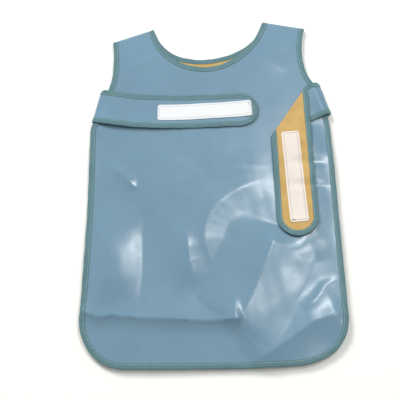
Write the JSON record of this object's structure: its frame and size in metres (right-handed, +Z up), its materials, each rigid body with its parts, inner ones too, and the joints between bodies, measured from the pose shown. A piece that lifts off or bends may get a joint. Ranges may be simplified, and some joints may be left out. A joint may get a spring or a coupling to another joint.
{
  "type": "dental lead apron",
  "caption": "Slip-over lead apron lying flat: front and rear panels folded over at the shoulders, bound edges, and side straps with hook and loop fastening.",
  "frame": {"origin": "bottom centre of the apron's box as it lies flat, on the surface that it lies on", "axes": "+Z up from the surface, +Y from the hem towards the shoulders, +X to the viewer's right as the front panel is looked at"},
  "size_m": [0.542, 0.8, 0.0207],
  "materials": {
    "cover_vinyl": "satin coated vinyl",
    "lead_vinyl": "matt, lead loaded",
    "lining_cloth": "matt woven",
    "binding_tape": "ribbed woven tape",
    "loop_pile": "fuzzy loop pile",
    "hook_tape": "moulded hooks on woven tape"
  },
  "bodies": {
    "root": {"front_cover": "cover_vinyl", "rear_cover": "cover_vinyl", "left_shoulder_cover_fold": "cover_vinyl", "right_shoulder_cover_fold": "cover_vinyl", "left_strap_root": "cover_vinyl", "right_strap_root": "cover_vinyl", "front_lead_sheet": "lead_vinyl", "rear_lead_sheet": "lead_vinyl", "front_lining": "lining_cloth", "rear_lining": "lining_cloth", "left_shoulder_lining_fold": "lining_cloth", "right_shoulder_lining_fold": "lining_cloth", "front_side_and_hem_binding": "binding_tape", "front_neck_binding": "binding_tape", "front_left_armhole_binding": "binding_tape", "front_right_armhole_binding": "binding_tape", "rear_side_and_hem_binding": "binding_tape", "rear_neck_binding": "binding_tape", "rear_left_armhole_binding": "binding_tape", "rear_right_armhole_binding": "binding_tape"},
    "left_strap": {"left_strap_cover": "cover_vinyl", "left_strap_lining": "lining_cloth", "left_strap_binding": "binding_tape", "left_strap_loop_strip": "loop_pile"},
    "right_strap": {"right_strap_cover": "cover_vinyl", "right_strap_lining": "lining_cloth", "right_strap_lower_binding": "binding_tape", "right_strap_upper_binding": "binding_tape", "right_strap_turn": "cover_vinyl"},
    "right_strap_end": {"right_strap_end_cover": "cover_vinyl", "right_strap_end_lining": "lining_cloth", "right_strap_end_binding": "binding_tape", "right_strap_hook_strip": "hook_tape"}
  },
  "joints": [
    {"name": "left_strap_swing", "type": "hinge", "parent": "root", "child": "left_strap", "pos_m": [-0.251, 0.181, 0.0094], "axis": [-0.3005, -0.9538, 0], "range_deg": [0, 178], "deforming": ["left_strap_root"]},
    {"name": "right_strap_swing", "type": "hinge", "parent": "root", "child": "right_strap", "pos_m": [0.249, 0.194, 0.0094], "axis": [-0.273, 0.962, 0], "range_deg": [0, 170], "deforming": ["right_strap_root"]},
    {"name": "right_strap_end_turn", "type": "hinge", "parent": "right_strap", "child": "right_strap_end", "pos_m": [0.1725, 0.163, 0.0153], "axis": [-0.5563, -0.831, 0], "range_deg": [0, 170], "deforming": ["right_strap_turn"]}
  ]
}
